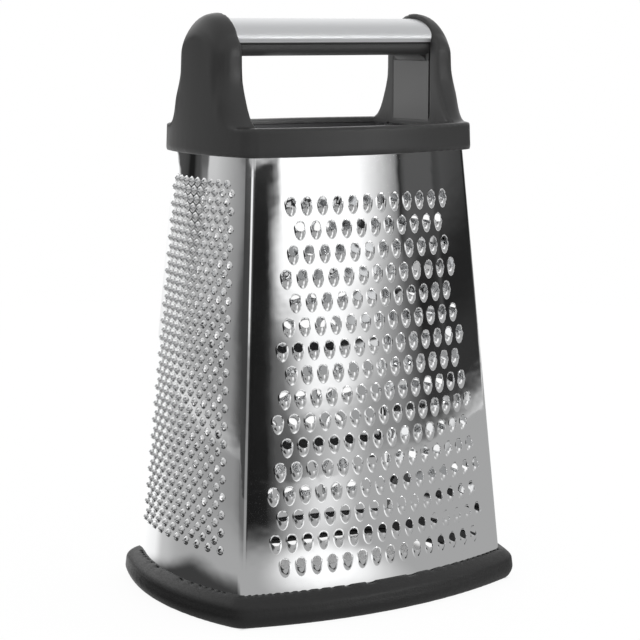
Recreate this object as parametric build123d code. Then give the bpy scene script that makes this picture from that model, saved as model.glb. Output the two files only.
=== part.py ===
from build123d import *

import os
from dataclasses import dataclass
from math import atan2, cos, degrees, pi, radians, sin, sqrt, tan
from typing import Callable

# Box grater: four bowed steel panels between a soft-grip base ring and a handled top.
# Millimetres, +Z up, origin on the ground under the middle of the grater.
# The front faces -Y, the back +Y, the left -X and the right +X.

# Steel body: distance of each outer face from the centre, at the base lip and at the collar
sheet = 0.6
lip_height = 12.7
collar_bottom = 187.0
front_low = 55.9
front_high = 40.1
side_low = 74.1
side_high = 57.9
front_bow = 189.6
side_bow = 116.8
corner_radius = 4.6
cut_overrun = 1.0

# Clearances
steel_gap = 0.3
screw_gap = 0.15
plate_gap = 0.2
mould_gap = 0.05
snap_gap = 0.4

# Medium shredding teeth of the front panel
medium_rows = (12, 11, 12, 13, 12, 13, 14, 13, 14, 15, 14, 15, 16, 15, 16, 15)
medium_top = 168.5
medium_row_step = 9.64
medium_pitch = 6.86
medium_half_width = 2.35
medium_length = 4.9
medium_rise = 1.4
medium_wall = 0.5
medium_window = 2.6

# Fine star points of the left panel: the columns fan out towards the base
fine_rows = 42
fine_columns = 10
fine_top = 175.8
fine_bottom = 29.1
fine_pitch_top = 5.2
fine_pitch_bottom = 7.25
fine_half_width = 1.4
fine_peak = 1.5
fine_hole = 1.2

# Coarse shredding teeth of the back panel
coarse_rows = (7, 6, 7, 8, 7, 8, 9, 8, 9, 10)
coarse_top = 164.0
coarse_row_step = 15.4
coarse_pitch = 11.2
coarse_half_width = 3.9
coarse_length = 7.6
coarse_rise = 2.5
coarse_wall = 0.6
coarse_window = 3.8

# Slicing slots of the right panel
slicer_heights = (39.0, 77.0, 115.0, 153.0)
slicer_margin = 12.0
slicer_length = 10.0
slicer_rise = 2.4
slicer_wall = 0.6
slicer_window = 3.8

# Base: a hard channel that takes the steel, in a soft grip with a bulging outer side
steel_foot = 4.2
channel_floor = 1.8
channel_wall = 1.6
channel_inner_height = 11.2
channel_outer_height = 9.2
grip_foot = 4.4
grip_foot_round = 2.6
grip_bulge = 7.6
grip_bulge_height = 6.0
grip_bulge_round = 4.6
grip_lip = 0.9
grip_lip_round = 0.2

# Collar: outer wall, roof over the top edge of the steel, hard frame inside the steel
collar_overhang = 3.6
collar_height = 11.6
collar_lean = 2.3
collar_round = 0.8
roof = 2.6
frame_wall = 1.6
frame_drop = 1.2

# Pillars: hollow arches that flare into the collar, open towards the middle
pillar_inner = 47.8
pillar_half_depth = 17.3
pillar_top = 244.2
pillar_flare_radius = 29.0
pillar_flare_height = 23.6
pillar_wall = 2.6
pillar_round = 6.5
pillar_foot = 4.0
pocket_half_width = 13.0
pocket_floor = 0.6

# Handle bar: a core with a flat underside and a thin metal arch over it
bar_half_width = 14.6
bar_top = 242.0
bar_shoulder = 233.8
bar_cover_edge = 231.2
bar_cover_tuck = 0.7
bar_cover_wall = 0.8
bar_bottom = 226.7
bar_core_inset = 0.3
bar_bottom_round = 3.0
bar_root_radius = 5.0
bar_root_drop = 2.4

# End plates of the bar, their screws and the covers over them
end_plate = 2.6
end_plate_bottom = 206.0
cover_plate = 1.8
screw_radius = 1.5
screw_head_radius = 2.7
screw_head = 1.6
screw_slot_width = 0.7
screw_slot_depth = 0.8
handle_screw_heights = (212.0, 219.5)
handle_screw_bite = 3.4
boss_radius = 3.2

# Screws of the collar frame, up into the feet of the pillars
frame_screw_x = 50.4
frame_screw_y = 18.0
frame_screw_bite = 5.0
frame_boss_radius = 3.6
frame_boss_depth = 6.0
frame_seat = 2.0

# Snap bosses of both frames that hold the steel by small windows
snap_half_width = 3.0
snap_height = 2.4
snap_flush = 0.1
snap_low = 6.0
snap_high = 189.8
snap_front_share = 0.5
snap_side_share = 0.36

# Values that follow from these
front_axis = front_bow - front_low
side_axis = side_bow - side_low
front_lean = (front_low - front_high) / (collar_bottom - lip_height)
side_lean = (side_low - side_high) / (collar_bottom - lip_height)
lean = (front_lean + side_lean) / 2
collar_top = collar_bottom + collar_height
roof_under = collar_top - roof
steel_top = roof_under - steel_gap
channel_bottom = steel_foot - channel_floor
base_mid = (steel_foot + lip_height) / 2
collar_mid = (collar_bottom + steel_top) / 2
pillar_arch = pillar_top - pillar_half_depth
pocket_bottom = collar_top + pocket_floor
plate_inner = pillar_inner + cover_plate + plate_gap + screw_head
plate_outer = plate_inner + end_plate
screw_hole = screw_radius + screw_gap


def front_at(height: float) -> float:
    """Distance of the outer face of the front from the centre, at a height."""
    return front_low - front_lean * (height - lip_height)


def side_at(height: float) -> float:
    """Distance of the outer face of a side from the centre, at a height."""
    return side_low - side_lean * (height - lip_height)


def corner_centre(height: float, offset: float = 0.0) -> tuple[float, float]:
    """Centre of the front right corner bend: where the two inset bows meet."""
    r1 = front_axis + front_at(height) + offset - corner_radius
    r2 = side_axis + side_at(height) + offset - corner_radius
    # The difference of the two circles is a line: y = level + slope * x
    level = (r2**2 - r1**2 - side_axis**2 + front_axis**2) / (2 * front_axis)
    slope = -side_axis / front_axis
    a = slope**2 + 1
    b = 2 * slope * (level - front_axis)
    c = (level - front_axis) ** 2 - r1**2
    x = (-b + sqrt(b**2 - 4 * a * c)) / (2 * a)
    return x, level + slope * x


@dataclass
class Side:
    """One of the four faces, as a bow about an upright axis behind it."""

    turn: float
    axis: float
    at: Callable[[float], float]

    def radius(self, height: float) -> float:
        """Radius of the outer surface at a height."""
        return self.axis + self.at(height)

    def half_chord(self, height: float) -> float:
        """Half the length of the bow up to the corner bends."""
        x, y = corner_centre(height)
        across, behind = (x, -y) if self.axis == front_axis else (-y, x)
        return atan2(across, self.axis + behind) * self.radius(height)

    def block(self, height: float, along: float, half_width: float, outline: list) -> Solid:
        """A block on the face between two upright planes through its axis.

        The outline is a list of (out, up) from the steel surface at the height.
        """
        points = [(self.radius(height + up) + out, 0, height + up) for out, up in outline]
        face = Face(Wire.make_polygon(points, close=True))
        radius = self.radius(height)
        solid = Solid.revolve(face, degrees(2 * half_width / radius), Axis.Z)
        start = degrees((along - half_width) / radius) - 90
        return solid.moved(self.turned() * Location((0, self.axis, 0), (0, 0, start)))

    def turned(self) -> Location:
        """The turn from the front to this face."""
        return Location((0, 0, 0), (0, 0, self.turn))

    def point(self, height: float, along: float, out: float, up: float) -> Vector:
        """A point near the face, by its place along the bow and its height."""
        angle = along / self.radius(height)
        reach = self.radius(height + up) + out
        spot = Vector(reach * sin(angle), self.axis - reach * cos(angle), height + up)
        return spot.rotate(Axis.Z, self.turn)


front = Side(0, front_axis, front_at)
right = Side(90, side_axis, side_at)
back = Side(180, front_axis, front_at)
left = Side(270, side_axis, side_at)


def four_sided(low: float, high: float, fronts: tuple, sides: tuple, rounding: float) -> Solid:
    """A tapering block with four bowed faces and rounded corners."""

    def cone(x: float, y: float, lower: float, upper: float) -> Solid:
        base = Plane(origin=(x, y, low))
        if lower == upper:
            return Solid.make_cylinder(lower, high - low, base)
        return Solid.make_cone(lower, upper, high - low, base)

    lower, upper = front_axis + fronts[0], front_axis + fronts[1]
    block = cone(0, front_axis, lower, upper) & cone(0, -front_axis, lower, upper)
    lower, upper = side_axis + sides[0], side_axis + sides[1]
    block = block & cone(-side_axis, 0, lower, upper) & cone(side_axis, 0, lower, upper)
    solid = block.solids()[0]
    tall = (high - low) / 2
    uprights = [edge for edge in solid.edges() if edge.bounding_box().size.Z > tall]
    return solid.fillet(rounding, uprights)


def steel_block(low: float, high: float, offset: float = 0.0) -> Solid:
    """The block inside the outer surface of the steel, grown by an offset."""
    fronts = (front_at(low) + offset, front_at(high) + offset)
    sides = (side_at(low) + offset, side_at(high) + offset)
    return four_sided(low, high, fronts, sides, corner_radius + offset)


def outline(corners: list, plane: Plane) -> Face:
    """A closed face through corners (across, up, rounding) of a plane."""
    starts, middles, ends = [], [], []
    for index, (across, up, rounding) in enumerate(corners):
        corner = Vector(across, up)
        before = corners[index - 1]
        after = corners[(index + 1) % len(corners)]
        back_way = (Vector(before[0], before[1]) - corner).normalized()
        on_way = (Vector(after[0], after[1]) - corner).normalized()
        half = radians(back_way.get_angle(on_way)) / 2
        inward = (back_way + on_way).normalized()
        starts.append(corner + back_way * (rounding / tan(half)))
        middles.append(corner + inward * (rounding / sin(half) - rounding))
        ends.append(corner + on_way * (rounding / tan(half)))
    edges = []
    for index, corner in enumerate(corners):
        start, middle, end = (
            plane.from_local_coords(spot[index]) for spot in (starts, middles, ends)
        )
        if corner[2]:
            edges.append(Edge.make_three_point_arc(start, middle, end))
        follow = plane.from_local_coords(starts[(index + 1) % len(corners)])
        edges.append(Edge.make_line(end, follow))
    return Face(Wire(edges))


def spun(profile: Face, spot: tuple, radius: float, start: float, swing: float) -> Solid:
    """The profile turned about an upright axis, from a start angle."""
    solid = Solid.revolve(profile.moved(Location((radius, 0, 0))), swing, Axis.Z)
    return solid.moved(Location((spot[0], spot[1], 0), (0, 0, start)))


def ring(corners: list, height: float) -> Solid:
    """A profile led round the outline of the steel, as it is at a height.

    The corners are (out, up, rounding), with out measured from that outline.
    """
    profile = outline(corners, Plane.XZ)
    x, y = corner_centre(height)
    front_swing = degrees(atan2(x, front_axis - y))
    side_swing = degrees(atan2(-y, side_axis + x))
    quarter = spun(profile, (0, front_axis), front.radius(height), -90, front_swing)
    quarter = quarter.fuse(
        spun(profile, (x, y), corner_radius, front_swing - 90, 90 - front_swing - side_swing),
        spun(profile, (-side_axis, 0), right.radius(height), -side_swing, side_swing),
    )
    half = quarter.fuse(quarter.mirror(Plane.YZ))
    return half.fuse(half.mirror(Plane.XZ))


def four_ways(x: float, y: float) -> list:
    """A place and its mirror images."""
    return [(across * x, along * y) for across in (-1, 1) for along in (-1, 1)]


def snaps(low: float) -> list:
    """The places of the snap bosses: each face, and how far along it."""
    places = []
    for side in (front, back):
        for sign in (-1, 1):
            places.append((side, sign * snap_front_share * side.half_chord(low)))
    for side in (left, right):
        for sign in (-1, 1):
            places.append((side, sign * snap_side_share * side.half_chord(low)))
    return places


def snap_bosses(low: float, wall: float) -> list:
    """Bosses from inside a frame wall out to the face of the steel."""
    inside = -sheet - steel_gap - wall / 2
    corners = [(inside, 0), (-snap_flush, 0), (-snap_flush, snap_height), (inside, snap_height)]
    return [side.block(low, along, snap_half_width, corners) for side, along in snaps(low)]


def snap_windows(side: Side, low: float, below: float, above: float) -> list:
    """Windows in the steel of one face round the bosses."""
    inside = -sheet - cut_overrun
    corners = [
        (inside, -below),
        (cut_overrun, -below),
        (cut_overrun, snap_height + above),
        (inside, snap_height + above),
    ]
    half_width = snap_half_width + snap_gap
    return [
        side.block(low, along, half_width, corners) for face, along in snaps(low) if face is side
    ]


def hood(length: float, rise: float) -> list:
    """Outline of a raised tooth: a ramp up to its cutting edge."""
    return [(-sheet / 2, -length), (0, -length), (rise, 0), (-sheet / 2, 0)]


def throat(length: float, rise: float, wall: float, window: float) -> list:
    """Outline of the space under a raised tooth and of the window above it."""
    run = length - wall
    inside = -sheet - cut_overrun
    outside = rise + cut_overrun
    return [
        (inside, -run),
        (-sheet, -run),
        (rise - wall, 0),
        (outside, 0),
        (outside, window),
        (inside, window),
    ]


def staggered(rows: tuple, top: float, step: float, pitch: float) -> list:
    """Places (height, along) of a pattern with these counts from the top down."""
    places = []
    for row, count in enumerate(rows):
        for column in range(count):
            places.append((top - row * step, (column - (count - 1) / 2) * pitch))
    return places


def shredding_teeth(side, places, half_width, length, rise, wall, window) -> tuple:
    """Raised teeth and the openings through them."""
    hoods = [side.block(up, along, half_width, hood(length, rise)) for up, along in places]
    opening = throat(length, rise, wall, window)
    holes = [side.block(up, along, half_width - wall, opening) for up, along in places]
    return hoods, holes


def fine_points(side: Side) -> tuple:
    """Small four-sided points, each burst open by a square hole."""
    step = (fine_top - fine_bottom) / (fine_rows - 1)
    peaks, holes = [], []
    for row in range(fine_rows):
        height = fine_top - row * step
        count = fine_columns - 1 + row % 2
        share = row / (fine_rows - 1)
        pitch = fine_pitch_top + (fine_pitch_bottom - fine_pitch_top) * share
        for column in range(count):
            along = (column - (count - 1) / 2) * pitch
            square = [
                side.point(height, along + x * fine_half_width, -sheet / 2, y * fine_half_width)
                for x, y in ((-1, -1), (1, -1), (1, 1), (-1, 1))
            ]
            tip = side.point(height, along, fine_peak, 0)
            peaks.append(pyramid(square, tip))
            hole = fine_hole / 2
            inside = -sheet - cut_overrun
            corners = [(inside, -hole), (fine_peak, -hole), (fine_peak, hole), (inside, hole)]
            holes.append(side.block(height, along, hole, corners))
    return peaks, holes


def pyramid(base: list, tip: Vector) -> Solid:
    """A pyramid on a flat base."""
    faces = [Face(Wire.make_polygon(base, close=True))]
    for index, corner in enumerate(base):
        faces.append(Face(Wire.make_polygon([base[index - 1], corner, tip], close=True)))
    return Solid(Shell(faces))


def seam_plane() -> Plane:
    """Where the front panel meets the bend of the right panel; its normal faces right."""
    low = Vector(*corner_centre(steel_foot), steel_foot)
    high = Vector(*corner_centre(steel_top), steel_top)
    centre = (low + high) / 2
    out = Vector(centre.X, centre.Y - front_axis, 0)
    return Plane(origin=centre, x_dir=(high - low).normalized(), z_dir=out.cross(high - low))


def steel_panels() -> dict:
    """The four panels, cut from one tapering shell along the seams at the bends."""
    outer = steel_block(steel_foot, steel_top)
    inner = steel_block(steel_foot - cut_overrun, steel_top + cut_overrun, -sheet)
    seam = seam_plane()
    to_right = Keep.TOP if seam.z_dir.X > 0 else Keep.BOTTOM
    to_left = Keep.BOTTOM if to_right == Keep.TOP else Keep.TOP
    right_part = outer.split(seam, keep=to_right)
    right_part = right_part.split(mirrored(seam), keep=to_right)
    front_part = outer.split(Plane.XZ, keep=Keep.TOP)
    front_part = front_part.split(seam, keep=to_left)
    front_part = front_part.mirror(Plane.YZ).split(seam, keep=to_left)
    parts = {
        "front_panel": (front, front_part),
        "back_panel": (back, front_part.mirror(Plane.XZ)),
        "right_panel": (right, right_part),
        "left_panel": (left, right_part.mirror(Plane.YZ)),
    }
    medium = staggered(medium_rows, medium_top, medium_row_step, medium_pitch)
    coarse = staggered(coarse_rows, coarse_top, coarse_row_step, coarse_pitch)
    teeth = {
        "front_panel": shredding_teeth(
            front, medium, medium_half_width, medium_length, medium_rise, medium_wall,
            medium_window,
        ),
        "back_panel": shredding_teeth(
            back, coarse, coarse_half_width, coarse_length, coarse_rise, coarse_wall,
            coarse_window,
        ),
        "right_panel": slicers(right),
        "left_panel": fine_points(left),
    }
    panels = {}
    for name, (side, part) in parts.items():
        raised, holes = teeth[name]
        holes = holes + snap_windows(side, snap_low, 0, snap_gap)
        holes = holes + snap_windows(side, snap_high, snap_gap, 0)
        panels[name] = part.fuse(*raised).cut(inner).cut(*holes)
    return panels


def slicers(side: Side) -> tuple:
    """Wide slots, each with a raised cutting edge."""
    hoods, holes = [], []
    for height in slicer_heights:
        half_width = side.half_chord(height) - slicer_margin
        hoods.append(side.block(height, 0, half_width, hood(slicer_length, slicer_rise)))
        opening = throat(slicer_length, slicer_rise, slicer_wall, slicer_window)
        holes.append(side.block(height, 0, half_width - slicer_wall, opening))
    return hoods, holes


def mirrored(plane: Plane) -> Plane:
    """The plane mirrored from the front to the back, its normal still facing its way."""
    origin = Vector(plane.origin.X, -plane.origin.Y, plane.origin.Z)
    normal = Vector(plane.z_dir.X, -plane.z_dir.Y, plane.z_dir.Z)
    along = Vector(plane.x_dir.X, -plane.x_dir.Y, plane.x_dir.Z)
    return Plane(origin=origin, x_dir=along, z_dir=normal)


def steel_out(height: float, middle: float) -> float:
    """How far the steel stands out at a height from its outline at another."""
    return lean * (middle - height)


def base_frame() -> Solid:
    """Hard channel round the lower edge of the steel, with snap bosses."""

    def outside(height: float) -> float:
        return steel_out(height, base_mid) + steel_gap

    def inside(height: float) -> float:
        return steel_out(height, base_mid) - sheet - steel_gap

    corners = [
        (inside(channel_bottom) - channel_wall, channel_bottom, 0),
        (outside(channel_bottom) + channel_wall, channel_bottom, 0),
        (outside(channel_outer_height) + channel_wall, channel_outer_height, 0),
        (outside(channel_outer_height), channel_outer_height, 0),
        (outside(steel_foot), steel_foot, 0),
        (inside(steel_foot), steel_foot, 0),
        (inside(channel_inner_height), channel_inner_height, 0),
        (inside(channel_inner_height) - channel_wall, channel_inner_height, 0),
    ]
    return ring(corners, base_mid).fuse(*snap_bosses(snap_low, channel_wall))


def base_grip() -> Solid:
    """Soft ring over the outer side and the foot of the channel."""
    at_lip = steel_out(lip_height, base_mid)
    steel_side = at_lip + steel_gap
    top = channel_outer_height
    step = steel_out(top, base_mid) + steel_gap
    low = steel_out(channel_bottom, base_mid)
    inner = low - sheet - steel_gap - channel_wall
    corners = [
        (inner, 0, 0),
        (at_lip + grip_foot, 0, grip_foot_round),
        (at_lip + grip_bulge, grip_bulge_height, grip_bulge_round),
        (at_lip + grip_lip, lip_height, grip_lip_round),
        (steel_side, lip_height, 0),
        (step, top, 0),
        (step + channel_wall + mould_gap, top, 0),
        (low + steel_gap + channel_wall + mould_gap, channel_bottom, 0),
        (inner, channel_bottom, 0),
    ]
    return ring(corners, base_mid)


def collar_out(height: float) -> float:
    """Distance of the outer side of the collar from the outline of the steel inside it."""
    low = steel_out(collar_bottom, collar_mid) + collar_overhang
    return low - (height - collar_bottom) * tan(radians(collar_lean))


def side_form(inset: float, low: float, high: float) -> Solid:
    """The space inside the right side of the collar and pillar, drawn in by an inset."""
    radii = [right.radius(collar_mid) + collar_out(height) - inset for height in (low, high)]
    return Solid.make_cone(radii[0], radii[1], high - low, Plane(origin=(-side_axis, 0, low)))


def arch(half_width: float, low: float, near: float, far: float) -> Solid:
    """An upright plate with a round top, on the axis of the pillar arch."""
    sides = [
        Edge.make_line((near, half_width, low), (near, half_width, pillar_arch)),
        Edge.make_three_point_arc(
            (near, half_width, pillar_arch),
            (near, 0, pillar_arch + half_width),
            (near, -half_width, pillar_arch),
        ),
        Edge.make_line((near, -half_width, pillar_arch), (near, -half_width, low)),
        Edge.make_line((near, -half_width, low), (near, half_width, low)),
    ]
    return Solid.extrude(Face(Wire(sides)), Vector(far - near, 0, 0))


def pillar_bell(near: float, far: float) -> Solid:
    """The arch of a pillar with its flares down to the top of the collar."""
    start = collar_top + pillar_flare_height
    centre = pillar_half_depth + pillar_flare_radius
    swing = atan2(
        pillar_flare_height, sqrt(pillar_flare_radius**2 - pillar_flare_height**2)
    )

    def flare(angle: float) -> tuple:
        return (
            centre - pillar_flare_radius * cos(angle),
            start - pillar_flare_radius * sin(angle),
        )

    points = [(near, *flare(swing * step)) for step in (1, 1 / 2, 0)]
    twins = [(x, -y, z) for x, y, z in points]
    arch_start = (near, pillar_half_depth, pillar_arch)
    arch_end = (near, -pillar_half_depth, pillar_arch)
    edges = [
        Edge.make_three_point_arc(*points),
        Edge.make_line(points[2], arch_start),
        Edge.make_three_point_arc(arch_start, (near, 0, pillar_top), arch_end),
        Edge.make_line(arch_end, twins[2]),
        Edge.make_three_point_arc(twins[2], twins[1], twins[0]),
        Edge.make_line(twins[0], points[0]),
    ]
    return Solid.extrude(Face(Wire(edges)), Vector(far - near, 0, 0))


def top_shell() -> Solid:
    """Collar and both pillars, one soft-touch moulding."""
    inner = steel_out(roof_under, collar_mid) - sheet - steel_gap - frame_wall
    corners = [
        (collar_out(collar_bottom), collar_bottom, collar_round),
        (collar_out(collar_top), collar_top, collar_round),
        (inner, collar_top, 0),
        (inner, roof_under, 0),
        (steel_out(roof_under, collar_mid) + steel_gap, roof_under, 0),
        (steel_out(collar_bottom, collar_mid) + steel_gap, collar_bottom, 0),
    ]
    shell = ring(corners, collar_mid)
    beyond = side_at(collar_bottom) + collar_overhang + cut_overrun
    high = pillar_top + cut_overrun
    form = side_form(0, collar_bottom, high)
    bell = pillar_bell(pillar_inner, beyond) & form
    pillar = bell.solids()[0]
    outer_edges = [
        edge
        for edge in pillar.edges()
        if edge.bounding_box().min.X > pillar_inner + pillar_wall
        and edge.bounding_box().max.Z > collar_top + cut_overrun
    ]
    pillar = pillar.fillet(pillar_round, outer_edges)
    # The deck closes the collar under the pillar, and the foot fills the rounding of its rim
    reach = corner_centre(collar_mid)[1]
    deck = Solid.make_box(
        beyond - pillar_inner, -2 * reach, roof, Plane(origin=(pillar_inner, reach, roof_under))
    )
    deck = deck & side_form(collar_overhang, roof_under, collar_top)
    foot_half = pillar_half_depth + pillar_flare_radius - sqrt(
        pillar_flare_radius**2 - pillar_flare_height**2
    )
    foot = Solid.make_box(
        beyond - pillar_inner,
        2 * foot_half,
        pillar_foot,
        Plane(origin=(pillar_inner, -foot_half, collar_top - pillar_foot)),
    )
    foot = (foot & form) - side_form(collar_overhang - steel_gap, collar_bottom, high)
    pocket = arch(pocket_half_width, pocket_bottom, pillar_inner - cut_overrun, beyond)
    pocket = pocket & side_form(pillar_wall, collar_bottom, high)
    pillar = pillar.fuse(*deck.solids(), *foot.solids()).cut(*pocket.solids())
    bosses, holes = [], []
    for height in handle_screw_heights:
        place = Plane(origin=(plate_outer, 0, height), z_dir=(1, 0, 0))
        length = side_at(collar_mid) + collar_out(height) - pillar_wall / 2 - plate_outer
        bosses.append(Solid.make_cylinder(boss_radius, length, place))
        holes.append(Solid.make_cylinder(screw_hole, handle_screw_bite + screw_gap, place))
    for sign in (-1, 1):
        place = Plane(origin=(frame_screw_x, sign * frame_screw_y, roof_under))
        holes.append(Solid.make_cylinder(screw_hole, frame_screw_bite + screw_gap, place))
    pillar = pillar.fuse(*bosses).cut(*holes)
    shell = shell.fuse(pillar, pillar.mirror(Plane.YZ))
    # The screws of the frame rise through the roof
    feet = [
        Solid.make_cylinder(
            screw_hole, frame_screw_bite + screw_gap, Plane(origin=(x, y, roof_under))
        )
        for x, y in four_ways(frame_screw_x, frame_screw_y)
    ]
    return shell.cut(*feet)


def collar_frame() -> Solid:
    """Hard ring that holds the top of the steel from inside, with screw bosses."""

    def outer(height: float) -> float:
        return steel_out(height, collar_mid) - sheet - steel_gap

    low = collar_bottom + frame_drop
    corners = [
        (outer(low) - frame_wall, low, 0),
        (outer(low), low, 0),
        (outer(roof_under), roof_under, 0),
        (outer(roof_under) - frame_wall, roof_under, 0),
    ]
    frame = ring(corners, collar_mid).fuse(*snap_bosses(snap_high, frame_wall))
    bosses, holes = [], []
    for x, y in four_ways(frame_screw_x, frame_screw_y):
        bottom = roof_under - frame_boss_depth
        bosses.append(
            Solid.make_cylinder(frame_boss_radius, frame_boss_depth, Plane(origin=(x, y, bottom)))
        )
        holes.append(
            Solid.make_cylinder(
                screw_head_radius + screw_gap,
                frame_boss_depth - frame_seat,
                Plane(origin=(x, y, bottom)),
            )
        )
        holes.append(
            Solid.make_cylinder(screw_hole, frame_boss_depth, Plane(origin=(x, y, bottom)))
        )
    return frame.fuse(*bosses).cut(*holes)


def screw(length: float, place: Plane) -> Solid:
    """A pan head screw with a cross slot; the place is under its head, facing its tip."""
    head = Solid.make_cylinder(screw_head_radius, screw_head, Plane(origin=(0, 0, -screw_head)))
    shaft = Solid.make_cylinder(screw_radius, length)
    width, depth = screw_slot_width, screw_slot_depth
    corner = (-screw_radius, -width / 2, -screw_head)
    slot = Solid.make_box(2 * screw_radius, width, depth, Plane(origin=corner))
    cross = slot.rotate(Axis.Z, 90)
    return head.fuse(shaft).cut(slot, cross).moved(place.location)


def collar_screws() -> Compound:
    """Four screws up through the frame into the feet of the pillars."""
    length = frame_seat + frame_screw_bite
    return Compound(
        [
            screw(length, Plane(origin=(x, y, roof_under - frame_seat)))
            for x, y in four_ways(frame_screw_x, frame_screw_y)
        ]
    )


def handle_screws() -> Compound:
    """Screws through the end plates into the pillars."""
    length = end_plate + handle_screw_bite
    screws = []
    for height in handle_screw_heights:
        for sign in (-1, 1):
            place = Plane(origin=(sign * plate_inner, 0, height), z_dir=(sign, 0, 0))
            screws.append(screw(length, place))
    return Compound(screws)


def half_ellipse(across: float, up: float) -> Edge:
    """The arch over the bar, from right to left over the top."""
    plane = Plane(origin=(-pillar_inner, 0, bar_shoulder), x_dir=(0, 1, 0), z_dir=(1, 0, 0))
    return Edge.make_ellipse(across, up, plane, 0, 180)


def across_bar(points: list) -> list:
    """Lines through points (y, z) of the cross-section of the bar."""
    spots = [(-pillar_inner, y, z) for y, z in points]
    return [Edge.make_line(a, b) for a, b in zip(spots, spots[1:])]


def handle_cover() -> Solid:
    """Thin metal arch over the bar."""
    outer, inner = bar_half_width, bar_half_width - bar_cover_wall
    rise = bar_top - bar_shoulder
    edge_outer, edge_inner = outer - bar_cover_tuck, inner - bar_cover_tuck
    edges = [half_ellipse(outer, rise), half_ellipse(inner, rise - bar_cover_wall)]
    for sign in (-1, 1):
        edges += across_bar(
            [
                (sign * outer, bar_shoulder),
                (sign * edge_outer, bar_cover_edge),
                (sign * edge_inner, bar_cover_edge),
                (sign * inner, bar_shoulder),
            ]
        )
    return Solid.extrude(Face(Wire(edges)), Vector(2 * pillar_inner, 0, 0))


def handle_core() -> Solid:
    """Bar under the metal arch, with a plug and an end plate in each pillar."""
    rise = bar_top - bar_shoulder - bar_cover_wall - mould_gap
    top = bar_half_width - bar_cover_wall - mould_gap
    edge = top - bar_cover_tuck
    wide = bar_half_width - bar_cover_tuck - bar_core_inset
    arc_share = sin(pi / 4)
    edges = [half_ellipse(top, rise)]
    for sign in (-1, 1):
        side_foot = (sign * wide, bar_bottom + bar_bottom_round)
        under = (sign * (wide - bar_bottom_round), bar_bottom)
        bend = (
            sign * (wide - bar_bottom_round * (1 - arc_share)),
            bar_bottom + bar_bottom_round * (1 - arc_share),
        )
        edges += across_bar(
            [
                (sign * top, bar_shoulder),
                (sign * edge, bar_cover_edge),
                (sign * wide, bar_cover_edge),
                side_foot,
            ]
        )
        arc = [(-pillar_inner, *spot) for spot in (side_foot, bend, under)]
        edges.append(Edge.make_three_point_arc(*arc))
    flat = wide - bar_bottom_round
    edges += across_bar([(-flat, bar_bottom), (flat, bar_bottom)])
    bar = Solid.extrude(Face(Wire(edges)), Vector(2 * pillar_inner, 0, 0))
    swing = atan2(
        sqrt(bar_root_radius**2 - (bar_root_radius - bar_root_drop) ** 2),
        bar_root_radius - bar_root_drop,
    )
    start = pillar_inner - bar_root_radius * sin(swing)

    def root_point(angle: float) -> tuple:
        return (
            start + bar_root_radius * sin(angle),
            -flat,
            bar_bottom - bar_root_radius * (1 - cos(angle)),
        )

    arc = [root_point(swing * step) for step in (0, 1 / 2, 1)]
    top_near = (start, -flat, bar_bottom + bar_bottom_round)
    top_far = (pillar_inner, -flat, bar_bottom + bar_bottom_round)
    root_edges = [
        Edge.make_three_point_arc(*arc),
        Edge.make_line(arc[2], top_far),
        Edge.make_line(top_far, top_near),
        Edge.make_line(top_near, arc[0]),
    ]
    root = Solid.extrude(Face(Wire(root_edges)), Vector(0, 2 * flat, 0))
    half_width = pocket_half_width - plate_gap
    plug = arch(half_width, bar_bottom - bar_root_drop, pillar_inner, plate_inner)
    plate = arch(half_width, end_plate_bottom, plate_inner, plate_outer)
    holes = [
        Solid.make_cylinder(
            screw_hole, end_plate, Plane(origin=(plate_inner, 0, height), z_dir=(1, 0, 0))
        )
        for height in handle_screw_heights
    ]
    end = root.fuse(plug, plate).cut(*holes)
    return bar.fuse(end, end.mirror(Plane.YZ))


def right_pillar_cover() -> Solid:
    """Plate over the screws, flush with the inner face of the pillar."""
    half_width = pocket_half_width - plate_gap
    height = bar_bottom - bar_root_drop - plate_gap - pocket_bottom
    place = Plane(origin=(pillar_inner, -half_width, pocket_bottom))
    return Solid.make_box(cover_plate, 2 * half_width, height, place)


if __name__ == "__main__":
    nodes = {
        "base_grip": base_grip(),
        "base_frame": base_frame(),
        "top_shell": top_shell(),
        "collar_frame": collar_frame(),
        "collar_screws": collar_screws(),
        "handle_core": handle_core(),
        "handle_cover": handle_cover(),
        "handle_screws": handle_screws(),
        "right_pillar_cover": right_pillar_cover(),
        "left_pillar_cover": right_pillar_cover().mirror(Plane.YZ),
    }
    nodes.update(steel_panels())
    os.makedirs("parts", exist_ok=True)
    for name, shape in nodes.items():
        export_step(shape, f"parts/{name}.step", write_pcurves=False)
        print(name, len(shape.solids()), round(shape.volume))
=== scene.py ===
"""The looks of a box grater: four mirror-bright panels, a soft base ring and a handled top.

Lengths are in metres, in the frame of the solids: +Z up, the front faces -Y.
"""

import logging
from collections.abc import Callable
from dataclasses import dataclass, field
from enum import Enum
from math import asin, atan2, cos, degrees, hypot, pi, radians, sin, sqrt

import bmesh
import bpy
import numpy as np
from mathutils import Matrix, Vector
from mathutils.geometry import delaunay_2d_cdt

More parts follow.
